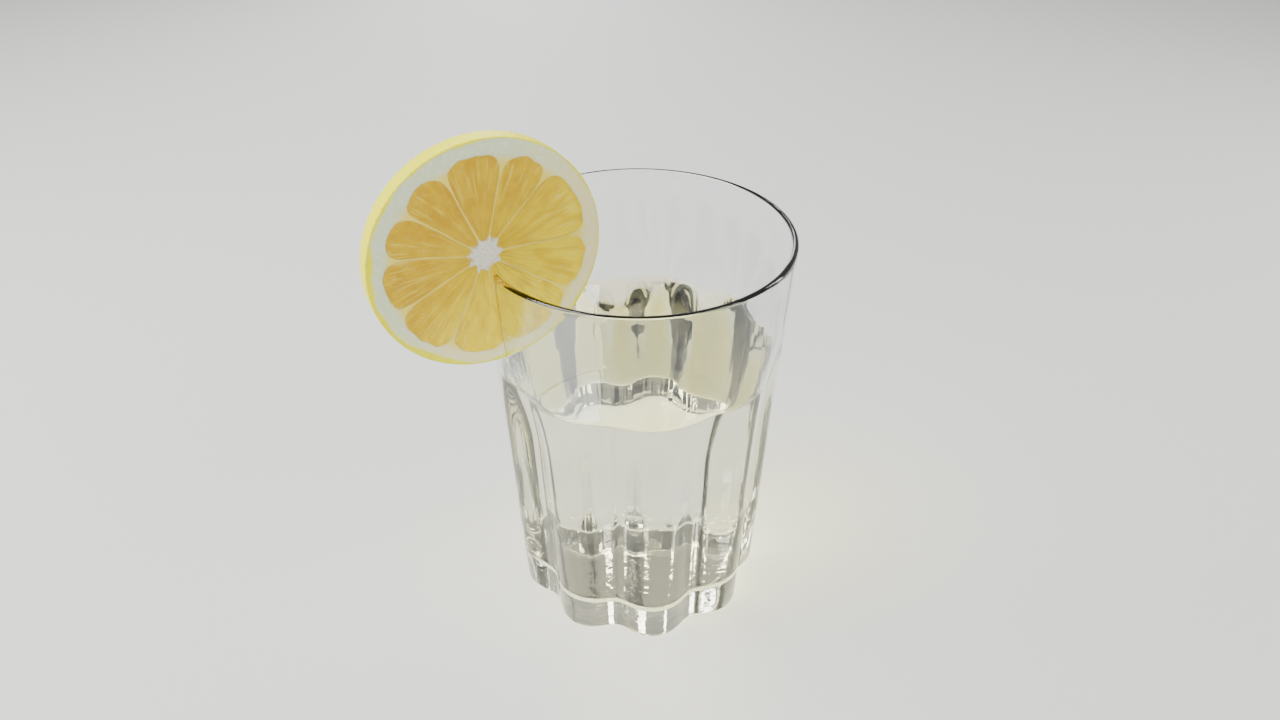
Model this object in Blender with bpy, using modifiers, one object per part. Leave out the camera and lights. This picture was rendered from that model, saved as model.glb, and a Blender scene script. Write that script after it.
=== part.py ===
"""A fluted tumbler of lemonade with a slice of lemon pushed down over its rim.

Metres, +Z up. The origin is the middle of the tumbler's flat underside, and the slice
stands in the XZ plane, on the -X side of the rim.
"""

import math

import bpy

# Tumbler
RIM_RADIUS = 0.043
HEIGHT = 0.1206
FOOT_CREST_RADIUS = 0.0381
WALL = 0.00155
WALL_FOOT_EXTRA = 0.0016
WALL_THICKENS_BELOW = 0.085
FLOOR_THICKNESS = 0.0085
FLOOR_CORNER = 0.006
FOOT_EDGE = 0.0009
FLUTES = 9
CREST_ANGLE = math.radians(169.3)
FLUTE_DEPTH = 0.0042
FLUTE_NARROWING = 0.0002
FLUTE_FADE_LOW = 0.0655
FLUTE_FADE_HIGH = 0.1034
INNER_FLUTE_SHARE = 0.85
FLOOR_PLAIN_SHARE = 0.67
GLASS_COLOR = (0.95, 0.97, 0.96)
GLASS_IOR = 1.5

# Lemonade
DRINK_LEVEL = 0.0837
GAP = 0.0003
DRINK_COLOR = (0.98, 0.95, 0.70)
DRINK_IOR = 1.34

# Lemon slice
SLICE_RADIUS = 0.0306
SLICE_THICKNESS = 0.0048
SLICE_OUT = 0.0434
SLICE_ABOVE_RIM = 0.0053
SLICE_EDGE = 0.0004
PULP_RADIUS = 0.0261
CORE_RADIUS = 0.0038
MEMBRANE_WIDTH = 0.0010
PULP_SINK = 0.00045
PITH_SLOPE = 0.0012
CORE_SLOPE = 0.0015
SLICE_RINGS = (0, 0.0028, 0.0052, 0.009, 0.014, 0.019, 0.0235, 0.0249, 0.0261)
LEMON_COLOR = (0.93, 0.78, 0.25)
SEGMENT_ANGLES = (1, 48, 77, 112, 140, 167, 201, 241, 277, 323)

# Fineness and finish
WET_ROUGHNESS = 0.35
CLEAR_ROUGHNESS = 0.02
SHARP_ANGLE = math.radians(40)
FLUTE_STEPS = 8
SLICE_STEPS = 80
MERGE = 0.00001


def smooth_step(value):
    """0 below 0, 1 above 1, and a smooth S between them."""
    clamped = min(1.0, max(0.0, value))
    return clamped * clamped * (3.0 - 2.0 * clamped)


def crest_radius(height):
    """Outer radius of the straight crest line between two flutes."""
    return FOOT_CREST_RADIUS + (RIM_RADIUS - FOOT_CREST_RADIUS) * height / HEIGHT


def wall_thickness(height):
    """Thickness of the glass at a crest, which grows from the drink's level down to the foot."""
    return WALL + WALL_FOOT_EXTRA * smooth_step(1 - height / WALL_THICKENS_BELOW)


def inner_crest(height, offset=0.0):
    """Inner radius of the wall at a crest, moved in by offset."""
    return crest_radius(height) - wall_thickness(height) - offset


def flute_depth(height, angle):
    """How far a flute is pressed in from the crest line, fading out towards the round rim."""
    phase = FLUTES * (angle - CREST_ANGLE)
    hollow = FLUTE_DEPTH / 2 * (1 - math.cos(phase)) - FLUTE_NARROWING * (1 - math.cos(2 * phase))
    fade = smooth_step((FLUTE_FADE_HIGH - height) / (FLUTE_FADE_HIGH - FLUTE_FADE_LOW))
    return hollow * fade


def steps(start, end, count):
    """Evenly spaced values from start up to, and without, end."""
    return [start + (end - start) * i / count for i in range(count)]


def wall_heights(low, high):
    """Heights of the wall's rings, close together where the flutes fade out."""
    rings = [low]
    for start, end, count in ((low, FLUTE_FADE_LOW, 3), (FLUTE_FADE_LOW, FLUTE_FADE_HIGH, 8),
                              (FLUTE_FADE_HIGH, high, 2)):
        start, end = max(start, low), min(end, high)
        if end > start:
            rings += steps(start, end, count)[1 if start == low else 0:]
    return rings + [high]


def arc(centre_x, centre_z, radius, first, last, count):
    """Points on an arc of the profile, angles in degrees from +X."""
    turns = [math.radians(first + (last - first) * i / count) for i in range(count + 1)]
    return [(centre_x + radius * math.cos(t), centre_z + radius * math.sin(t)) for t in turns]


def new_object(name, mesh, collection):
    """An object of that mesh, put in the collection."""
    obj = bpy.data.objects.new(name, mesh)
    collection.objects.link(obj)
    return obj


def turned(name, profile, turns, collection):
    """A closed mesh turned about Z from (radius, height) points, with a Screw modifier applied."""
    mesh = bpy.data.meshes.new(name)
    points = [(radius, 0, height) for radius, height in profile]
    mesh.from_pydata(points, [(i, i + 1) for i in range(len(points) - 1)], [])
    blank = new_object(name + "_profile", mesh, collection)
    screw = blank.modifiers.new("turn", "SCREW")
    screw.axis = "Z"
    screw.steps = screw.render_steps = turns
    screw.use_merge_vertices = True
    screw.merge_threshold = MERGE
    graph = bpy.context.evaluated_depsgraph_get()
    made = bpy.data.meshes.new_from_object(blank.evaluated_get(graph))
    bpy.data.objects.remove(blank)
    made.name = name
    return new_object(name, made, collection)


def press_flutes(obj):
    """Moves each vertex in by the flutes' depth. Those inside the wall move by a smaller share."""
    for vertex in obj.data.vertices:
        x, y, z = vertex.co
        radius = math.hypot(x, y)
        if radius < MERGE:
            continue
        crest = crest_radius(z)
        inside = radius < crest - WALL / 2
        share = INNER_FLUTE_SHARE if inside else 1.0
        from_middle = radius / inner_crest(z)
        spread = smooth_step((from_middle - FLOOR_PLAIN_SHARE) / (1 - FLOOR_PLAIN_SHARE))
        reach = spread if inside else radius / crest
        new_radius = radius - share * reach * flute_depth(z, math.atan2(y, x))
        vertex.co.x = x * new_radius / radius
        vertex.co.y = y * new_radius / radius


def finish(obj, color, roughness, **more):
    """Smooth shading and the part's own material."""
    material = bpy.data.materials.new(obj.name)
    material.use_nodes = True
    shader = material.node_tree.nodes["Principled BSDF"]
    shader.inputs["Base Color"].default_value = (*color, 1)
    shader.inputs["Roughness"].default_value = roughness
    for socket, value in more.items():
        shader.inputs[socket.replace("_", " ")].default_value = value
    obj.data.materials.clear()
    obj.data.materials.append(material)
    obj.data.shade_smooth()
    obj.data.set_sharp_from_angle(angle=SHARP_ANGLE)


def inner_profile(low, high, offset):
    """Profile of the tumbler's inside from the middle of its floor up to high, moved in by offset."""
    corner_top = low + FLOOR_CORNER
    wall_foot = inner_crest(corner_top, offset)
    corner = arc(wall_foot - FLOOR_CORNER, corner_top, FLOOR_CORNER, -90, 0, 4)
    floor_rim = wall_foot - FLOOR_CORNER
    floor = [(0, low), (floor_rim * 0.6, low)]
    wall = [(inner_crest(h, offset), h) for h in wall_heights(corner_top, high)[1:]]
    return floor + corner + wall


def make_tumbler(collection):
    """The pressed glass: a thick floor, thin fluted walls and a rounded lip."""
    lip = WALL / 2
    lip_base = HEIGHT - lip
    inside = inner_profile(FLOOR_THICKNESS, lip_base, 0)
    lip_middle = crest_radius(lip_base) - lip
    over = arc(lip_middle, lip_base, lip, 180, 0, 6)[1:-1]
    heights = wall_heights(FOOT_EDGE, lip_base)
    outside = [(crest_radius(h), h) for h in reversed(heights)]
    foot_corner = crest_radius(0) - FOOT_EDGE
    foot = arc(foot_corner, FOOT_EDGE, FOOT_EDGE, 0, -90, 2)[1:]
    underside = [(foot_corner * 0.5, 0), (0, 0)]
    tumbler = turned("tumbler", inside + over + outside + foot + underside,
                     FLUTES * FLUTE_STEPS, collection)
    press_flutes(tumbler)
    finish(tumbler, GLASS_COLOR, CLEAR_ROUGHNESS, Transmission_Weight=1.0, IOR=GLASS_IOR)
    return tumbler


def make_lemonade(collection):
    """The drink: the tumbler's inside up to the level, clear of the glass."""
    side = inner_profile(FLOOR_THICKNESS + GAP, DRINK_LEVEL, GAP)
    surface = [(side[-1][0] * 0.6, DRINK_LEVEL), (0, DRINK_LEVEL)]
    profile = list(reversed(side + surface))
    drink = turned("lemonade", profile, FLUTES * FLUTE_STEPS, collection)
    press_flutes(drink)
    finish(drink, DRINK_COLOR, CLEAR_ROUGHNESS, Transmission_Weight=1.0, IOR=DRINK_IOR)
    return drink


def make_wall_cutter(collection):
    """The wall's top part, thicker by the gap on both faces and on the lip."""
    low = HEIGHT - SLICE_RADIUS
    heights = wall_heights(low, HEIGHT + GAP)
    inside = [(inner_crest(h, GAP), h) for h in heights]
    outside = [(crest_radius(h) + GAP, h) for h in reversed(heights)]
    cutter = turned("wall_cutter", inside + outside + inside[:1], FLUTES * FLUTE_STEPS, collection)
    press_flutes(cutter)
    cutter.hide_render = True
    cutter.display_type = "WIRE"
    return cutter


def membrane_distance(radius, angle):
    """Distance along the face from the nearest membrane between two segments."""
    gaps = [abs((angle - math.radians(a) + math.pi) % math.tau - math.pi) for a in SEGMENT_ANGLES]
    return radius * min(gaps)


def pulp_sink(radius, angle):
    """How far the juicy segments lie below the pith and the membranes."""
    from_membrane = smooth_step(membrane_distance(radius, angle) / MEMBRANE_WIDTH - 0.5)
    from_pith = smooth_step((PULP_RADIUS - radius) / PITH_SLOPE)
    from_core = smooth_step((radius - CORE_RADIUS) / CORE_SLOPE)
    return PULP_SINK * from_membrane * from_pith * from_core


def make_slice(collection, cutter):
    """A round of lemon, its segments sunk between their membranes, slit where the wall goes."""
    half = SLICE_THICKNESS / 2
    face = [(r, half) for r in SLICE_RINGS]
    edge = [(SLICE_RADIUS - SLICE_EDGE, half), (SLICE_RADIUS, half - SLICE_EDGE)]
    profile = face + edge
    profile += [(r, -z) for r, z in reversed(profile)]
    lemon = turned("lemon_slice", profile, SLICE_STEPS, collection)
    for vertex in lemon.data.vertices:
        x, y, z = vertex.co
        sink = pulp_sink(math.hypot(x, y), math.atan2(y, x))
        vertex.co.z = z - math.copysign(sink, z) if abs(z) > half - SLICE_EDGE / 2 else z
    lemon.rotation_euler = (math.pi / 2, 0, 0)
    lemon.location = (-SLICE_OUT, 0, HEIGHT + SLICE_ABOVE_RIM)
    slit = lemon.modifiers.new("slit", "BOOLEAN")
    slit.operation = "DIFFERENCE"
    slit.solver = "EXACT"
    slit.object = cutter
    finish(lemon, LEMON_COLOR, WET_ROUGHNESS)
    return lemon


def main():
    """Clears the file and makes the three parts."""
    for obj in list(bpy.data.objects):
        bpy.data.objects.remove(obj)
    parts = bpy.data.collections.new("glass_of_lemonade")
    cutters = bpy.data.collections.new("cutters")
    for collection in (parts, cutters):
        bpy.context.scene.collection.children.link(collection)
    make_tumbler(parts)
    make_lemonade(parts)
    make_slice(parts, make_wall_cutter(cutters))


main()
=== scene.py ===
import math

import bmesh
import bpy
from mathutils import Matrix, Vector, noise


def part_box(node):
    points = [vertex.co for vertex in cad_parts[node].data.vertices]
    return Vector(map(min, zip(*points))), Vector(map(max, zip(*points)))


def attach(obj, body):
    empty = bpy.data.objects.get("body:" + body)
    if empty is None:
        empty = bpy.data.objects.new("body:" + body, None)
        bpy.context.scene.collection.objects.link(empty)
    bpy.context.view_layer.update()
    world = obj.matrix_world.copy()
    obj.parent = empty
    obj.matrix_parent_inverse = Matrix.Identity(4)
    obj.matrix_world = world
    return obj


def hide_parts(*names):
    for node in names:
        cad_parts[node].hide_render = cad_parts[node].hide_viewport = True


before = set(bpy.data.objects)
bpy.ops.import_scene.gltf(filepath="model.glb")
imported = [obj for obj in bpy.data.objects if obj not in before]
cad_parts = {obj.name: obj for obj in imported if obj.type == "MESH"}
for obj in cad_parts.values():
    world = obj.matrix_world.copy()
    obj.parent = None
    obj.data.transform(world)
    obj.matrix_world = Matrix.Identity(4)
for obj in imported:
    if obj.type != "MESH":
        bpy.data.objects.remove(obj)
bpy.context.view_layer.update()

bl_info = {
    "name": "Glass of Lemonade",
    "version": (1, 0, 0),
    "blender": (4, 5, 0),
    "location": "3D View > Sidebar > Lemonade",
    "description": "Makes a fluted tumbler of lemonade with a round of lemon on its rim",
    "category": "Object",
}

BODY = "root"
MM = 0.001
TUMBLER_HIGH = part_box("tumbler")[1]
DRINK_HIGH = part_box("lemonade")[1]
LEMON_LOW, LEMON_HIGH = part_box("lemon_slice")

# Points round each flute of a turned mesh, and round the slice
TUMBLER_TURN = 32
DRINK_TURN = 24
CUTTER_TURN = 16
SLICE_TURN = 400

# Steps along each stretch of the profiles
OUTER_STEPS = 70
INNER_STEPS = 66
DRINK_STEPS = 44
CUTTER_STEPS = 40
FACE_STEPS = 84
RIND_STEPS = 12
ROUND_STEPS = 10
FOOT_EDGE_STEPS = 5
SLICE_EDGE_STEPS = 3

# Rings on the flat faces, as shares of the way out, and the climb's rings, in climb reaches
UNDERSIDE_RINGS = (0.25, 0.5, 0.7, 0.85, 0.95)
FLOOR_RINGS = (0.2, 0.4, 0.55, 0.68, 0.8, 0.9)
SURFACE_RINGS = (0.85, 0.72, 0.55, 0.35, 0.15)
CLIMB_RINGS = (0.15, 0.35, 0.6, 0.9, 1.3, 1.8, 2.5, 3.5)

# Faint waves in the glass, drawn out upright by WAVE_STRETCH, and clouds in the drink: cycles per
# metre, and detail
GLASS_WAVES = (130.0, 3.0)
WAVE_STRETCH = 0.06
JUICE_CLOUDS = (35.0, 3.0)

# Degrees round the core to each membrane, and the core's own shift from the slice's middle, in mm.
# FAR is added to the distance of a membrane that runs the other way from the core.
MEMBRANES = (-1.6, 44.7, 74.1, 111.0, 141.3, 169.8, 204.2, 243.6, 278.4, 322.4)
CORE_ACROSS = -0.8
CORE_UP = 1.2
FAR = 50.0

# Rounding where the rind was cut, in metres
EDGE_ROUNDING = 0.00035

# Relief in the slice's mesh: widths in mm, heights in metres, patterns in cycles per metre, and
# for SACS_ROUND in cycles per radian
FACE_SHARE = 0.9
SINK_WIDTH = 0.6
SINK_START = 0.15
DOME_WIDTH = 6
DOME_HEIGHT = 0.0002
SACS_ROUND = 16
SACS_OUT = 160
SAC_HEIGHT = 0.00012
PITH_GRAIN = 500
PITH_HEIGHT = 0.00008
RIND_GRAIN = 900
RIND_HEIGHT = 0.00006
RIND_LEVEL = 0.00005

# The slit: how far its cutter reaches below the slice, and the width of slivers that are closed up
CUTTER_BELOW = 0.004
SLIVER = 0.01 * MM

# Patterns in the slice's colours: cycles per mm, and detail
WANDER = (0.09, 0.0)
PATCHES = (0.3, 3.0)
# PAINTED_GLINTS places white glints of highlight that are painted into the pulp
PAINTED_GLINTS = (1.6, 3.0)
MOTTLE = (0.8, 4.0)
FLECKS = (2.4, 4.0)
FINE_GRAIN = (3.0, 3.0)
PORES = 1.3

# The same for patterns that move an edge, after how far they move it, in mm
SEGMENT_ENDS = (1.3, 0.3, 0.0)
CORE_EDGE = (2.6, 0.7, 2.0)
SKIN_WAVES = (5.0, 0.07, 1.0)
SKIN_GRAIN = (1.2, 0.8, 3.0)

# How far the core's middle wanders, and how far the painted shade and light across the pulp and pith
# shift, in mm
WANDER_REACH = 1.5
PAINTED_LIGHT_SHIFT = 30

# Patterns that run out from the core: cycles per radian round it, and per mm away from it
THREADS = (30.0, 0.14)
SACS = (11.0, 0.20)

# The height that the lights face, half the floor's side, and the camera's sensor in mm
AIM_HEIGHT = 0.07
FLOOR_HALF = 4.0
SENSOR = 36.0

# Each light: degrees round from the front, degrees up, distance, size and watts
LIGHTS = {
    "key": (-105, 48, 0.9, (0.5, 0.7), 15.0),
    "fill": (30, 40, 1.1, (0.5, 0.5), 4.0),
    "strip_right": (75, 18, 0.8, (0.10, 0.6), 3.0),
    "strip_back": (160, 25, 0.9, (0.14, 0.6), 3.0),
}


def length(name, description, default):
    """A size in metres for a property group."""
    return bpy.props.FloatProperty(name=name, description=description, default=default,
                                   unit="LENGTH", precision=5)


def share(name, description, default):
    """A plain number from 0 to 1 for a property group."""
    return bpy.props.FloatProperty(name=name, description=description, default=default,
                                   min=0.0, max=1.0, subtype="FACTOR")


def turn(name, description, degrees):
    """An angle for a property group."""
    return bpy.props.FloatProperty(name=name, description=description,
                                   default=math.radians(degrees), unit="ROTATION")


def paint(name, description, default):
    """A colour for a property group, kept as the eye sees it."""
    return bpy.props.FloatVectorProperty(name=name, description=description, default=default,
                                         size=3, min=0.0, max=1.0, subtype="COLOR_GAMMA")


class TumblerSizes(bpy.types.PropertyGroup):
    """Sizes and finish of the fluted glass."""
    height: length("Height", "Foot to lip", TUMBLER_HIGH[2])
    rim_radius: length("Rim radius", "Outside of the lip", round(TUMBLER_HIGH[0], 4))
    foot_radius: length("Foot radius", "Crest of a flute's edge at the foot", 0.0381)
    wall: length("Wall", "Thickness of the glass at the lip", 0.00155)
    foot_extra: length("Foot extra", "How much thicker the wall is at the foot", 0.0016)
    thickens_below: length("Thickens below", "Height where the wall starts to thicken", 0.085)
    floor: length("Floor", "Thickness of the glass under the drink", 0.0085)
    floor_corner: length("Floor corner", "Rounding between the floor and the wall", 0.006)
    foot_edge: length("Foot edge", "Rounding round the underside", 0.0009)
    flutes: bpy.props.IntProperty(name="Flutes", description="Flutes round the wall", default=9, min=3)
    crest_angle: turn("Crest angle", "Turn of the first crest", 169.3)
    flute_depth: length("Flute depth", "From crest to hollow", 0.0042)
    narrowing: length("Narrowing", "Narrows the hollows and broadens the crests a little", 0.0002)
    fade_low: length("Fade low", "Height where the flutes reach their depth", 0.0655)
    fade_high: length("Fade high", "Height where the flutes run out", 0.1034)
    inner_share: share("Inner share", "Depth of the flutes inside the wall", 0.85)
    color: paint("Colour", "Tint of the glass", (0.985, 0.993, 0.988))


class DrinkSizes(bpy.types.PropertyGroup):
    """Sizes and tint of the lemonade."""
    level: length("Level", "Height of the drink's surface", DRINK_HIGH[2])
    into_wall: length("Into the wall", "How far the drink reaches into the glass", 0.00012)
    climb: length("Climb", "How far the drink climbs the wall", 0.0007)
    climb_reach: length("Climb reach", "How far from the wall it starts to climb", 0.0009)
    color: paint("Colour", "Tint of the lemonade", (0.985, 0.965, 0.85))


class LemonSizes(bpy.types.PropertyGroup):
    """Sizes and colours of the round of lemon."""
    radius: length("Radius", "Middle to rind", (LEMON_HIGH[0] - LEMON_LOW[0]) / 2)
    thickness: length("Thickness", "Face to face", LEMON_HIGH[1] - LEMON_LOW[1])
    across: length("Across", "Place of its middle along X", (LEMON_HIGH[0] + LEMON_LOW[0]) / 2)
    up: length("Up", "Height of its middle", (LEMON_HIGH[2] + LEMON_LOW[2]) / 2)
    pulp_radius: length("Pulp radius", "Middle to the ends of the segments", 0.0266)
    zest: length("Zest", "Thickness of the yellow skin", 0.0011)
    core_radius: length("Core radius", "The white middle", 0.0035)
    membrane: length("Membrane", "Width of a membrane", 0.0003)
    corner: length("Corner", "Rounding of the segments' outer corners", 0.0086)
    sink: length("Sink", "How far the pulp lies below the membranes", 0.00022)
    slit_press: length("Slit press", "How far the wet flesh presses on the glass in the slit", 0.00006)
    # Deep pulp is also the painted shade on the slice's upper left, and bright pulp the painted light on
    # its lower right
    pulp_deep_and_shaded: paint("Deep pulp", "Pulp at its darkest", (0.83, 0.645, 0.0))
    pulp_bright_and_lit: paint("Bright pulp", "Pulp at its brightest", (1.0, 0.88, 0.0))
    patch_share: share("Patches", "How much the bright patches show", 0.3)
    sac_share: share("Juice sacs", "How much the sacs' dark edges show", 0.45)
    fibre: paint("Fibre", "Pale threads in the pulp", (1.0, 0.94, 0.38))
    fibre_share: share("Fibres", "How much the threads show near the core, and twice that far out", 0.24)
    # The painted glints are white specks of highlight painted into the pulp near the rind
    painted_glint_share: share("Glints", "How much the wet glints show", 0.7)
    skin: paint("Membrane colour", "Membranes between the segments", (1.0, 0.91, 0.42))
    core: paint("Core colour", "The white middle", (0.95, 0.93, 0.86))
    fleck: paint("Fleck colour", "Grey flecks in the core", (0.62, 0.60, 0.56))
    fleck_share: share("Flecks", "How much the flecks show", 0.6)
    # Cool pith is the pith painted as in shade on the slice's upper left, and warm pith the pith painted
    # as lit on its lower right
    pith_cool_shaded: paint("Cool pith", "Pith with a touch of green", (0.89, 0.94, 0.77))
    pith_warm_lit: paint("Warm pith", "Pith with a touch of cream", (1.0, 0.95, 0.68))
    pith_pale: paint("Pale pith", "Mottling in the pith", (0.97, 0.98, 0.93))
    mottle_share: share("Mottling", "How much the mottling shows", 0.8)
    rind: paint("Rind", "Yellow skin", (1.0, 0.975, 0.0))
    zest_lean: share("Zest lean", "How much thicker the yellow skin is on the lower left", 0.015)


class StageSizes(bpy.types.PropertyGroup):
    """The camera, floor and lights."""
    camera_place: bpy.props.FloatVectorProperty(name="Camera place", description="Where it stands",
                                                default=(-0.1120, -0.1978, 0.2384), size=3,
                                                unit="LENGTH")
    camera_turn: turn("Camera turn", "Heading, from +Y", -29.64)
    camera_drop: turn("Camera drop", "Angle below level", 35.106)
    lens: bpy.props.FloatProperty(name="Lens", description="Focal length", default=26.49,
                                  unit="CAMERA")
    floor_gap: length("Floor gap", "Air under the foot, so that two faces don't share a plane", 0.0002)
    floor_color: paint("Floor colour", "Pale floor", (0.86, 0.86, 0.85))
    daylight: bpy.props.FloatProperty(name="Daylight", description="Strength of the even light",
                                      default=0.55, min=0.0)


# Shader helpers

class Wire:
    """A shader value, on which plain arithmetic adds Math nodes."""

    def __init__(self, recipe, socket):
        self.recipe = recipe
        self.socket = socket

    def __add__(self, other):
        return self.recipe.math("ADD", self, other)

    def __sub__(self, other):
        return self.recipe.math("SUBTRACT", self, other)

    def __rsub__(self, other):
        return self.recipe.math("SUBTRACT", other, self)

    def __mul__(self, other):
        return self.recipe.math("MULTIPLY", self, other)

    def __truediv__(self, other):
        return self.recipe.math("DIVIDE", self, other)

    def __lt__(self, other):
        return self.recipe.math("LESS_THAN", self, other)

    __radd__ = __add__
    __rmul__ = __mul__

    def absolute(self):
        return self.recipe.math("ABSOLUTE", self)

    def minimum(self, other):
        return self.recipe.math("MINIMUM", self, other)

    def soft_minimum(self, other, width):
        return self.recipe.math("SMOOTH_MIN", self, other, width)

    def root(self):
        return self.recipe.math("SQRT", self)

    def ramp(self, low, high):
        """0 at low, 1 at high and smooth between them."""
        return self.recipe.node("MapRange", {"interpolation_type": "SMOOTHSTEP"},
                                {"Value": self, "From Min": low, "From Max": high})


class Recipe:
    """One material: its shader, and the ways to add nodes to it."""

    def __init__(self, name, **values):
        self.material = bpy.data.materials.new(name)
        self.material.use_nodes = True
        self.tree = self.material.node_tree
        self.shader = self.tree.nodes["Principled BSDF"]
        self.feed(**values)

    def feed(self, **values):
        """Sets or links sockets of the shader, with _ for the spaces in their names."""
        for name, value in values.items():
            self.plug(self.shader.inputs[name.replace("_", " ")], value)

    def plug(self, socket, value):
        """Links a socket to a wire, or sets it to a plain value."""
        if isinstance(value, Wire):
            self.tree.links.new(value.socket, socket)
        else:
            socket.default_value = value

    def node(self, kind, settings, inputs, output=0):
        """Adds a node of that kind: its settings first, then its sockets' values or links."""
        node = self.tree.nodes.new("ShaderNode" + kind)
        for name, value in settings.items():
            setattr(node, name, value)
        for name, value in inputs.items():
            self.plug(node.inputs[name], value)
        return Wire(self, node.outputs[output])

    def math(self, operation, *values):
        """Adds a Math node."""
        return self.node("Math", {"operation": operation}, dict(enumerate(values)))

    def mix(self, amount, first, second):
        """A colour between two, at amount 0 the first."""
        return self.node("Mix", {"data_type": "RGBA"}, {0: amount, 6: first, 7: second}, 2)

    def place(self):
        """The object's own X, Y and Z, in metres."""
        coordinates = self.node("TexCoord", {}, {}, "Object")
        return [self.node("SeparateXYZ", {}, {"Vector": coordinates}, axis) for axis in "XYZ"]

    def point(self, x, y, z):
        """Three values as one place."""
        return self.node("CombineXYZ", {}, {"X": x, "Y": y, "Z": z})

    def noise(self, vector, scale, detail):
        """A soft random pattern around 0.5, with that many cycles for each unit of the vector."""
        return self.node("TexNoise", {}, {"Vector": vector, "Scale": scale, "Detail": detail})

    def sway(self, vector, reach, scale, detail):
        """The same pattern, around 0 and reach wide."""
        return (self.noise(vector, scale, detail) - 0.5) * reach

    def let_light_through(self, tint):
        """Lets light from the lamps through a clear piece, so that what lies behind isn't black."""
        shadow = self.node("LightPath", {}, {}, "Is Shadow Ray")
        clear = self.node("BsdfTransparent", {}, {"Color": tint})
        surface = Wire(self, self.shader.outputs[0])
        mixed = self.node("MixShader", {}, {0: shadow, 1: surface, 2: clear})
        self.plug(self.tree.nodes["Material Output"].inputs["Surface"], mixed)

    def bump(self, height, distance, strength):
        """Relief from a pattern, in metres."""
        self.feed(Normal=self.node("Bump", {}, {"Height": height, "Distance": distance,
                                                "Strength": strength}))


def linear(color):
    """The light of a colour that is given as the eye sees it, with full alpha."""
    return (*(c / 12.92 if c <= 0.04045 else ((c + 0.055) / 1.055) ** 2.4 for c in color), 1.0)


# Shape helpers

def smooth_step(value):
    """0 below 0, 1 above 1, and a smooth S between them."""
    clamped = min(1.0, max(0.0, value))
    return clamped * clamped * (3.0 - 2.0 * clamped)


def soft_minimum(first, second, width):
    """The lower of two values, with the corner between them rounded over width."""
    near = max(width - abs(first - second), 0.0) / width
    return min(first, second) - near ** 3 * width / 6


def spread(start, end, count):
    """Evenly spaced values from start to end, both included."""
    return [start + (end - start) * i / count for i in range(count + 1)]


def arc(middle_r, middle_z, radius, first, last, count):
    """Profile points on an arc, angles in degrees from outwards."""
    turns = [math.radians(angle) for angle in spread(first, last, count)]
    return [(middle_r + radius * math.cos(t), middle_z + radius * math.sin(t)) for t in turns]


def turned(name, profile, turns, move, closed=False):
    """A mesh turned about Z from (radius, height) points. A point of radius 0 is a pole, and
    move changes each finished point."""
    points = []
    rows = []
    for radius, height in profile:
        count = 1 if radius == 0 else turns
        rows.append([len(points) + i for i in range(count)])
        for i in range(count):
            angle = math.tau * i / turns
            point = Vector((radius * math.cos(angle), radius * math.sin(angle), height))
            points.append(move(point, angle))
    faces = []
    for lower, upper in zip(rows, rows[1:] + rows[:1] if closed else rows[1:]):
        for i in range(turns):
            low = [lower[i % len(lower)], lower[(i + 1) % len(lower)]]
            high = [upper[(i + 1) % len(upper)], upper[i % len(upper)]]
            faces.append(list(dict.fromkeys(low + high)))
    mesh = bpy.data.meshes.new(name)
    mesh.from_pydata(points, [], faces)
    return mesh


def linked(name, data):
    """An object of that mesh, light or camera, in the scene."""
    made = bpy.data.objects.new(name, data)
    bpy.context.scene.collection.objects.link(made)
    return made


def add_piece(name, mesh, material, node, sharp):
    """Links a piece, shades it smooth below sharp degrees, hangs it from the body's empty and hides the
    CAD part that it stands for.
    """
    piece = linked(name, mesh)
    mesh.materials.append(material)
    mesh.shade_smooth()
    mesh.set_sharp_from_angle(angle=math.radians(sharp))
    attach(piece, BODY)
    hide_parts(node)


# Tumbler

def crest_radius(t, height):
    """Outer radius of the straight crest line between two flutes."""
    return t.foot_radius + (t.rim_radius - t.foot_radius) * height / t.height


def inner_crest(t, height, offset=0.0):
    """Inner radius of the wall at a crest, moved in by offset."""
    thickness = t.wall + t.foot_extra * smooth_step(1 - height / t.thickens_below)
    return crest_radius(t, height) - thickness - offset


def flute_inset(t, height, angle):
    """How far a flute is pressed in from the crest line, fading out towards the round rim."""
    phase = t.flutes * (angle - t.crest_angle)
    hollow = t.flute_depth / 2 * (1 - math.cos(phase)) - t.narrowing * (1 - math.cos(2 * phase))
    return hollow * smooth_step((t.fade_high - height) / (t.fade_high - t.fade_low))


def press(t, point, angle):
    """Moves a point of the glass or the drink in by the flutes' depth at its place. Inside, the
    flutes fade in over the outer third of the floor."""
    radius = math.hypot(point.x, point.y)
    if radius == 0:
        return point
    crest = crest_radius(t, point.z)
    if radius < crest - t.wall / 2:
        reach = smooth_step(radius / inner_crest(t, point.z) * 3 - 2) * t.inner_share
    else:
        reach = radius / crest
    pressed = (radius - reach * flute_inset(t, point.z, angle)) / radius
    return Vector((point.x * pressed, point.y * pressed, point.z))


def inside_wall(t, low, high, offset, steps):
    """Profile of the tumbler's inside, from the middle of its floor out and up to high."""
    corner_top = low + t.floor_corner
    middle = inner_crest(t, corner_top, offset) - t.floor_corner
    floor = [(0, low)] + [(middle * part, low) for part in FLOOR_RINGS]
    corner = arc(middle, corner_top, t.floor_corner, -90, 0, ROUND_STEPS)
    wall = [(inner_crest(t, h, offset), h) for h in spread(corner_top, high, steps)[1:]]
    return floor + corner + wall


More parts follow.
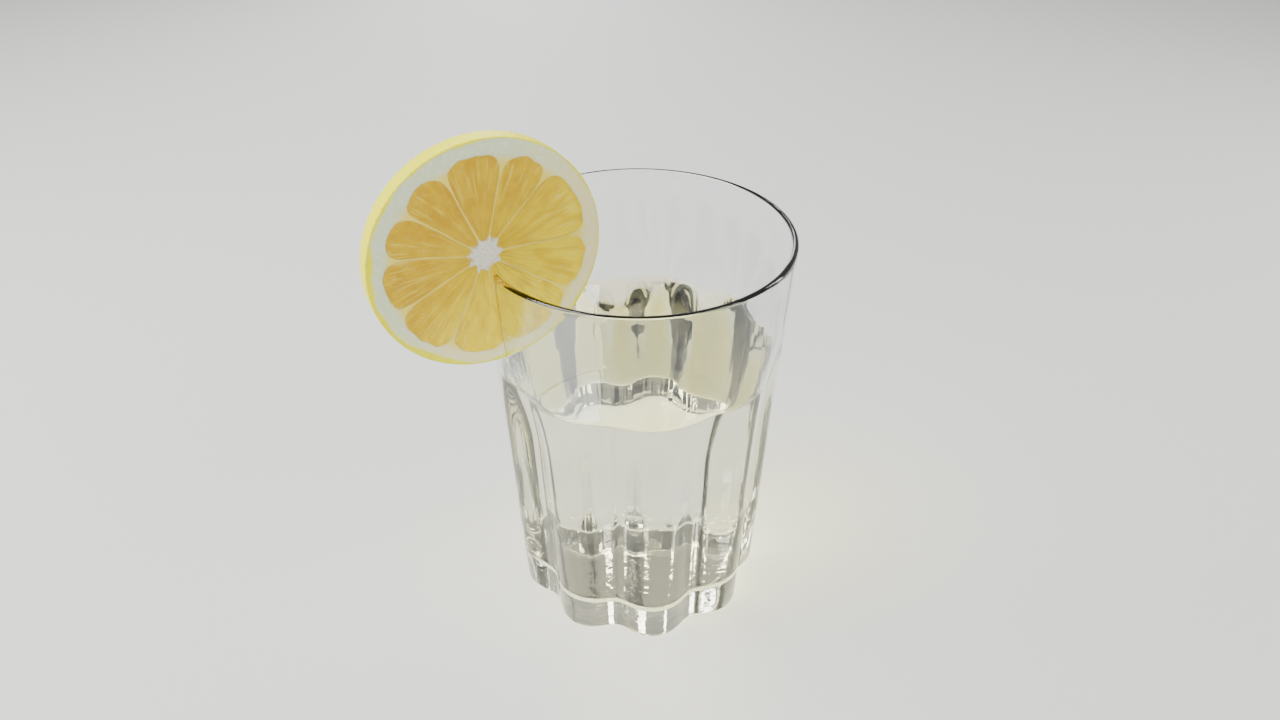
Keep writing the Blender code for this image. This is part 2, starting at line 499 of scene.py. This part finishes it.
def tumbler_profile(t):
    """From the middle of the underside out, up, over the lip and down to the middle of the floor."""
    lip = t.wall / 2
    lip_base = t.height - lip
    foot = crest_radius(t, 0) - t.foot_edge
    under = [(0, 0)] + [(foot * part, 0) for part in UNDERSIDE_RINGS]
    edge = arc(foot, t.foot_edge, t.foot_edge, -90, 0, FOOT_EDGE_STEPS)
    outer = [(crest_radius(t, h), h) for h in spread(t.foot_edge, lip_base, OUTER_STEPS)[1:]]
    over = arc(crest_radius(t, lip_base) - lip, lip_base, lip, 0, 180, ROUND_STEPS)[1:-1]
    inner = inside_wall(t, t.floor, lip_base, 0, INNER_STEPS)
    return under + edge + outer + over + list(reversed(inner))


def glass_finish(t):
    """Clear pressed glass, with the faint upright waves that the mould leaves."""
    recipe = Recipe("clear_pressed_glass", Base_Color=linear(t.color), IOR=1.5, Transmission_Weight=1.0)
    x, y, z = recipe.place()
    waves = recipe.noise(recipe.point(x, y, z * WAVE_STRETCH), *GLASS_WAVES)
    recipe.feed(Roughness=0.004 + waves.ramp(0.5, 0.8) * 0.012)
    recipe.bump(waves, 0.00015, 0.7)
    recipe.let_light_through(linear(t.color))
    return recipe.material


class LEMONADE_OT_tumbler(bpy.types.Operator):
    """Makes the fluted tumbler"""
    bl_idname = "lemonade.tumbler"
    bl_label = "Tumbler"

    def execute(self, context):
        t = context.scene.tumbler_sizes
        mesh = turned("tumbler_glass", tumbler_profile(t), t.flutes * TUMBLER_TURN,
                      lambda point, angle: press(t, point, angle))
        add_piece("tumbler_glass", mesh, glass_finish(t), "tumbler", sharp=40.0)
        return {"FINISHED"}


# Lemonade

def drink_profile(t, d):
    """The inside of the tumbler up to the level, then in over the drink's surface."""
    side = inside_wall(t, t.floor - d.into_wall, d.level + d.climb, -d.into_wall, DRINK_STEPS)
    edge = side[-1][0]
    distances = [ring * d.climb_reach for ring in CLIMB_RINGS]
    climb = [(edge - far, d.level + d.climb * math.exp(-far / d.climb_reach)) for far in distances]
    surface = [(edge * part, d.level) for part in SURFACE_RINGS]
    return side + climb + surface + [(0, d.level)]


def drink_finish(d):
    """Clear lemonade with a pale tint and a few faint clouds of juice."""
    recipe = Recipe("lemonade_drink", IOR=1.34, Transmission_Weight=1.0, Roughness=0.0)
    x, y, z = recipe.place()
    clouds = recipe.noise(recipe.point(x, y, z), *JUICE_CLOUDS).ramp(0.35, 0.75)
    paler = [0.5 + c / 2 for c in d.color]
    recipe.feed(Base_Color=recipe.mix(clouds, linear(d.color), linear(paler)))
    recipe.let_light_through(linear(d.color))
    return recipe.material


class LEMONADE_OT_drink(bpy.types.Operator):
    """Makes the lemonade, which reaches just into the glass"""
    bl_idname = "lemonade.drink"
    bl_label = "Lemonade"

    def execute(self, context):
        t = context.scene.tumbler_sizes
        d = context.scene.drink_sizes
        mesh = turned("lemonade_drink", drink_profile(t, d), t.flutes * DRINK_TURN,
                      lambda point, angle: press(t, point, angle))
        add_piece("lemonade_drink", mesh, drink_finish(d), "lemonade", sharp=60.0)
        return {"FINISHED"}


# Shape of the lemon

def membrane_gap(across, up):
    """Distance in mm from the nearest membrane, all measured from the core."""
    gaps = []
    for degrees in MEMBRANES:
        angle = math.radians(degrees)
        along = across * math.cos(angle) + up * math.sin(angle)
        aside = abs(across * math.sin(angle) - up * math.cos(angle))
        gaps.append(aside if along > 0 else aside + FAR)
    return min(gaps)


def segment_depth(lemon, across, up):
    """How far inside a segment a place on the face is, in mm, and below 0 outside them."""
    from_membrane = membrane_gap(across - CORE_ACROSS, up - CORE_UP) - lemon.membrane / MM / 2
    from_pith = lemon.pulp_radius / MM - math.hypot(across, up)
    from_core = math.hypot(across - CORE_ACROSS, up - CORE_UP) - lemon.core_radius / MM
    inside = soft_minimum(from_pith, from_membrane, lemon.corner / MM)
    return min(inside, from_core)


def shape_rind(point, radius):
    """Moves a point of the rind in by its pores."""
    pores = noise.noise(point * RIND_GRAIN) * RIND_HEIGHT
    inward = 1 - max(0.0, pores + RIND_LEVEL) / max(radius, MM)
    return Vector((point.x * inward, point.y * inward, point.z))


def shape_slice(lemon, point):
    """Sinks the pulp between its membranes and roughens it on both faces, and pits the rind."""
    radius = math.hypot(point.x, point.y)
    if radius > lemon.radius - lemon.zest or abs(point.z) < lemon.thickness / 2 * FACE_SHARE:
        return shape_rind(point, radius)
    depth = segment_depth(lemon, point.x / MM, point.y / MM)
    inside = smooth_step(depth / SINK_WIDTH + SINK_START)
    outward = point.normalized() if radius else Vector((0, 0, 0))
    sacs = noise.noise(Vector((outward.x * SACS_ROUND, outward.y * SACS_ROUND, radius * SACS_OUT)))
    dome = smooth_step(depth / DOME_WIDTH) * DOME_HEIGHT
    lowered = inside * (lemon.sink + sacs * SAC_HEIGHT) - dome
    pith = (1 - inside) * max(0.0, noise.noise(point * PITH_GRAIN)) * PITH_HEIGHT
    side = math.copysign(1.0, point.z)
    return Vector((point.x, point.y, side * (abs(point.z) - max(0.0, lowered) - pith)))


def lemon_profile(lemon):
    """From the middle of one face out to the rind, over it and back along the other face."""
    half = lemon.thickness / 2
    top = half - EDGE_ROUNDING
    flat = lemon.radius - EDGE_ROUNDING
    face = [(r, -half) for r in spread(0, flat, FACE_STEPS)[:-1]]
    edge = arc(flat, -top, EDGE_ROUNDING, -90, 0, SLICE_EDGE_STEPS)
    rind = [(lemon.radius, z) for z in spread(-top, top, RIND_STEPS)[1:-1]]
    mirrored = [(r, -z) for r, z in reversed(face + edge)]
    return face + edge + rind + mirrored


def slit_cutter(t, lemon):
    """The wall's upper part, a hair thinner, so that the slit's wet flesh meets the glass."""
    low = lemon.up - lemon.radius - CUTTER_BELOW
    press_in = lemon.slit_press
    heights = spread(low, t.height - press_in, CUTTER_STEPS)
    outside = [(crest_radius(t, h) - press_in, h) for h in heights]
    inside = [(inner_crest(t, h, -press_in), h) for h in reversed(heights)]
    mesh = turned("slit_cutter", outside + inside, t.flutes * CUTTER_TURN,
                  lambda point, angle: press(t, point, angle), closed=True)
    return linked("slit_cutter", mesh)


def close_slivers(mesh):
    """Splits the faces that the cut left with many corners, and closes up the slivers among them."""
    shape = bmesh.new()
    shape.from_mesh(mesh)
    cut_faces = [face for face in shape.faces if len(face.verts) > 4]
    split = set(bmesh.ops.triangulate(shape, faces=cut_faces)["faces"])
    edges = [edge for edge in shape.edges if split.intersection(edge.link_faces)]
    bmesh.ops.dissolve_degenerate(shape, dist=SLIVER, edges=edges)
    shape.to_mesh(mesh)
    shape.free()


def cut_slit(mesh, cutter):
    """The slice's mesh with the slit cut out of it. The cutter and the blank are removed."""
    blank = linked("lemon_blank", mesh)
    slit = blank.modifiers.new("slit", "BOOLEAN")
    slit.operation = "DIFFERENCE"
    slit.solver = "EXACT"
    slit.object = cutter
    graph = bpy.context.evaluated_depsgraph_get()
    result = bpy.data.meshes.new_from_object(blank.evaluated_get(graph))
    for helper in (blank, cutter):
        bpy.data.objects.remove(helper)
    result.name = "lemon_round"
    return result


# Finish of the lemon

def shader_membranes(across, up):
    """The same distance as membrane_gap, as shader nodes."""
    nearest = None
    for degrees in MEMBRANES:
        angle = math.radians(degrees)
        along = across * math.cos(angle) + up * math.sin(angle)
        aside = (across * math.sin(angle) - up * math.cos(angle)).absolute()
        gap = aside + (along < 0.0) * FAR
        nearest = gap if nearest is None else nearest.minimum(gap)
    return nearest


class CutFace:
    """Places on the slice as shader values in mm, from its middle and from its core, whose place
    wanders a little through the slice."""

    def __init__(self, recipe, lemon):
        x, y, z = recipe.place()
        self.recipe = recipe
        self.across = (x - lemon.across) / MM
        self.up = (z - lemon.up) / MM
        deep = y / MM
        self.here = recipe.point(self.across, self.up, deep)
        drift = recipe.noise(self.here, *WANDER) - 0.5
        rise = recipe.noise(recipe.point(self.up, self.across, deep), *WANDER) - 0.5
        self.core_across = self.across - CORE_ACROSS + drift * WANDER_REACH
        self.core_up = self.up - CORE_UP + rise * WANDER_REACH
        self.radius = (self.across * self.across + self.up * self.up).root()
        self.core_far = (self.core_across * self.core_across + self.core_up * self.core_up).root()
        self.gap = shader_membranes(self.core_across, self.core_up)
        self.end = lemon.pulp_radius / MM + recipe.sway(self.here, *SEGMENT_ENDS) - self.radius
        # Painted shade and light: 0 on the upper left, where the pulp and pith are painted darker and
        # cooler as shade, rising to 1 on the lower right, where they are painted brighter and warmer as
        # light
        self.tone = (self.across - self.up + drift * PAINTED_LIGHT_SHIFT).ramp(-26.0, 26.0)

    def out_from_core(self, cycles_round, cycles_out):
        """A place for patterns that run out from the core, in cycles per radian and per mm."""
        return self.recipe.point(self.core_across / self.core_far * cycles_round,
                                 self.core_up / self.core_far * cycles_round,
                                 self.core_far * cycles_out)


def pulp_color(recipe, lemon, face, threads, sacs):
    """Golden pulp, painted darker on the upper left as shade and brighter on the lower right as light,
    with bright patches, dark edges to its sacs, pale threads and painted glints of highlight.
    """
    color = recipe.mix(face.tone, linear(lemon.pulp_deep_and_shaded), linear(lemon.pulp_bright_and_lit))
    patches = recipe.noise(face.here, *PATCHES).ramp(0.35, 0.65)
    color = recipe.mix(patches * lemon.patch_share, color, linear(lemon.pulp_bright_and_lit))
    color = recipe.mix(sacs.ramp(0.35, 0.7) * lemon.sac_share, color, linear(lemon.pulp_deep_and_shaded))
    outer = face.core_far.ramp(8.0, 24.0)
    fibres = lemon.fibre_share + outer * lemon.fibre_share
    color = recipe.mix(threads.ramp(0.5, 0.7) * fibres * face.end.ramp(0.2, 2.5), color,
                       linear(lemon.fibre))
    # Painted glints: sparse white specks of highlight painted into the pulp's colour, more of them
    # towards the rind
    painted_glints = recipe.noise(face.here, *PAINTED_GLINTS).ramp(0.66, 0.74)
    return recipe.mix(painted_glints * outer * lemon.painted_glint_share, color, linear(lemon.core))


def pith_color(recipe, lemon, face):
    """Mottled pith, painted cooler on the upper left as shade and warmer on the lower right as light,
    and the membranes' own colour further in.
    """
    color = recipe.mix(face.tone, linear(lemon.pith_cool_shaded), linear(lemon.pith_warm_lit))
    mottle = recipe.noise(face.here, *MOTTLE).ramp(0.48, 0.72)
    color = recipe.mix(mottle * lemon.mottle_share, color, linear(lemon.pith_pale))
    outside_pulp = (face.radius - lemon.pulp_radius / MM).ramp(-2.5, 0.5)
    return recipe.mix(outside_pulp, linear(lemon.skin), color)


def core_look(recipe, lemon, face):
    """Where the white core shows, with points along the membranes, and its flecked colour."""
    flecks = recipe.noise(face.here, *FLECKS)
    points = (1 - face.gap.ramp(0.0, 1.0)) * 0.9
    star = face.core_far - points + (flecks - 0.5) * 1.4 + recipe.sway(face.here, *CORE_EDGE)
    core = 1 - star.ramp(lemon.core_radius / MM - 0.4, lemon.core_radius / MM + 0.7)
    fleck_amount = flecks.ramp(0.5, 0.68) * lemon.fleck_share
    return core, recipe.mix(fleck_amount, linear(lemon.core), linear(lemon.fleck))


def rind_mask(recipe, lemon, face):
    """Where the yellow skin shows: all of the outermost part, and in to an uneven line."""
    outside = lemon.radius / MM
    inside = (lemon.radius - lemon.zest) / MM
    uneven = recipe.sway(face.here, *SKIN_WAVES) + recipe.sway(face.here, *SKIN_GRAIN)
    ragged = face.radius + uneven - (face.across + face.up) * lemon.zest_lean
    outermost = face.radius.ramp(outside - 0.5, outside - 0.15)
    return 1 - (1 - ragged.ramp(inside - 0.45, inside + 0.5)) * (1 - outermost)


def lemon_finish(lemon):
    """Wet pulp with pale threads, membranes, a white core, pith and a pored yellow rind."""
    recipe = Recipe("cut_lemon", IOR=1.34, Specular_IOR_Level=0.3, Coat_Roughness=0.12,
                    Subsurface_Weight=0.12, Subsurface_Scale=0.002, Subsurface_Radius=(1.0, 0.7, 0.25))
    face = CutFace(recipe, lemon)
    from_membrane = face.gap - lemon.membrane / MM / 2
    pulp = face.end.soft_minimum(from_membrane, lemon.corner / MM).ramp(-0.12, 0.22)
    threads = recipe.noise(face.out_from_core(*THREADS), 1.0, 4.0)
    sacs = recipe.node("TexVoronoi", {"feature": "SMOOTH_F1"},
                       {"Vector": face.out_from_core(*SACS), "Scale": 1.0})
    core, core_color = core_look(recipe, lemon, face)
    rind = rind_mask(recipe, lemon, face)
    color = recipe.mix(pulp, pith_color(recipe, lemon, face),
                       pulp_color(recipe, lemon, face, threads, sacs))
    color = recipe.mix(core, color, core_color)
    recipe.feed(Base_Color=recipe.mix(rind, color, linear(lemon.rind)))

    juicy = pulp * (1 - core)
    recipe.feed(Roughness=0.5 - juicy * 0.26 - rind * 0.14, Coat_Weight=juicy * 0.12)
    pores = recipe.node("TexVoronoi", {}, {"Vector": face.here, "Scale": PORES})
    grain = recipe.noise(face.here, *FINE_GRAIN)
    relief = juicy * (threads * 0.7 + sacs * 0.8) + (1 - juicy) * grain * 0.35 + rind * pores * 0.5
    recipe.bump(relief, 0.0005, 0.9)
    return recipe.material


class LEMONADE_OT_lemon(bpy.types.Operator):
    """Makes the round of lemon, slit onto the rim"""
    bl_idname = "lemonade.lemon"
    bl_label = "Lemon round"

    def execute(self, context):
        t = context.scene.tumbler_sizes
        lemon = context.scene.lemon_sizes
        mesh = turned("lemon_flat", lemon_profile(lemon), SLICE_TURN,
                      lambda point, angle: shape_slice(lemon, point))
        upright = Matrix.Rotation(math.pi / 2, 4, "X")
        mesh.transform(Matrix.Translation((lemon.across, 0, lemon.up)) @ upright)
        mesh = cut_slit(mesh, slit_cutter(t, lemon))
        if not mesh.polygons:
            raise RuntimeError("The slit left nothing of the slice")
        close_slivers(mesh)
        add_piece("lemon_round", mesh, lemon_finish(lemon), "lemon_slice", sharp=35.0)
        return {"FINISHED"}


# Stage

def around(degrees, rise, distance):
    """A place that many degrees round from the front and up, seen from the height that the lights
    face."""
    angle, rise = math.radians(degrees), math.radians(rise)
    flat = math.cos(rise) * distance
    return Vector((math.sin(angle) * flat, -math.cos(angle) * flat,
                   math.sin(rise) * distance + AIM_HEIGHT))


def soft_light(name, degrees, rise, distance, size, power):
    """An area light that faces the drink."""
    light = bpy.data.lights.new(name, "AREA")
    light.shape = "RECTANGLE"
    light.size, light.size_y = size
    light.energy = power
    lamp = linked(name, light)
    lamp.location = around(degrees, rise, distance)
    facing = Vector((0, 0, AIM_HEIGHT)) - lamp.location
    lamp.rotation_euler = facing.to_track_quat("-Z", "Y").to_euler()


def make_floor(s):
    """A pale floor, just under the foot."""
    half = FLOOR_HALF
    corners = [(-half, -half), (half, -half), (half, half), (-half, half)]
    mesh = bpy.data.meshes.new("floor")
    mesh.from_pydata([(x, y, -s.floor_gap) for x, y in corners], [], [(0, 1, 2, 3)])
    recipe = Recipe("pale_floor", Base_Color=linear(s.floor_color), Roughness=0.75)
    mesh.materials.append(recipe.material)
    floor = linked("floor", mesh)


def make_camera(s):
    """The camera at the photograph's viewing angle."""
    data = bpy.data.cameras.new("camera")
    data.lens = s.lens
    data.sensor_width = SENSOR
    camera = linked("camera", data)
    camera.location = s.camera_place
    camera.rotation_euler = (math.pi / 2 - s.camera_drop, 0, s.camera_turn)
    bpy.context.scene.camera = camera


def make_daylight(s):
    """Even white light from all round."""
    world = bpy.data.worlds.new("daylight")
    world.use_nodes = True
    background = world.node_tree.nodes["Background"]
    background.inputs["Color"].default_value = (1.0, 1.0, 1.0, 1.0)
    background.inputs["Strength"].default_value = s.daylight
    bpy.context.scene.world = world


class LEMONADE_OT_stage(bpy.types.Operator):
    """Makes the floor, the camera and the soft studio light"""
    bl_idname = "lemonade.stage"
    bl_label = "Stage"

    def execute(self, context):
        s = context.scene.stage_sizes
        make_floor(s)
        make_camera(s)
        make_daylight(s)
        for name, light in LIGHTS.items():
            soft_light(name, *light)
        return {"FINISHED"}


class LEMONADE_PT_panel(bpy.types.Panel):
    """Lists the sizes and the makers"""
    bl_label = "Lemonade"
    bl_space_type = "VIEW_3D"
    bl_region_type = "UI"
    bl_category = "Lemonade"

    def draw(self, context):
        scene = context.scene
        rows = ((scene.tumbler_sizes, LEMONADE_OT_tumbler), (scene.drink_sizes, LEMONADE_OT_drink),
                (scene.lemon_sizes, LEMONADE_OT_lemon), (scene.stage_sizes, LEMONADE_OT_stage))
        for sizes, maker in rows:
            box = self.layout.box()
            for name in sizes.bl_rna.properties.keys():
                if name not in ("rna_type", "name"):
                    box.prop(sizes, name)
            box.operator(maker.bl_idname)


GROUPS = {"tumbler_sizes": TumblerSizes, "drink_sizes": DrinkSizes,
          "lemon_sizes": LemonSizes, "stage_sizes": StageSizes}
OPERATORS = (LEMONADE_OT_tumbler, LEMONADE_OT_drink, LEMONADE_OT_lemon, LEMONADE_OT_stage)


def register():
    for kind in (*GROUPS.values(), *OPERATORS, LEMONADE_PT_panel):
        bpy.utils.register_class(kind)
    for name, group in GROUPS.items():
        setattr(bpy.types.Scene, name, bpy.props.PointerProperty(type=group))


def unregister():
    for name in GROUPS:
        delattr(bpy.types.Scene, name)
    for kind in reversed((*GROUPS.values(), *OPERATORS, LEMONADE_PT_panel)):
        bpy.utils.unregister_class(kind)


def main():
    register()
    bpy.ops.lemonade.tumbler()
    bpy.ops.lemonade.drink()
    bpy.ops.lemonade.lemon()
    bpy.ops.lemonade.stage()


if __name__ == "__main__":
    main()
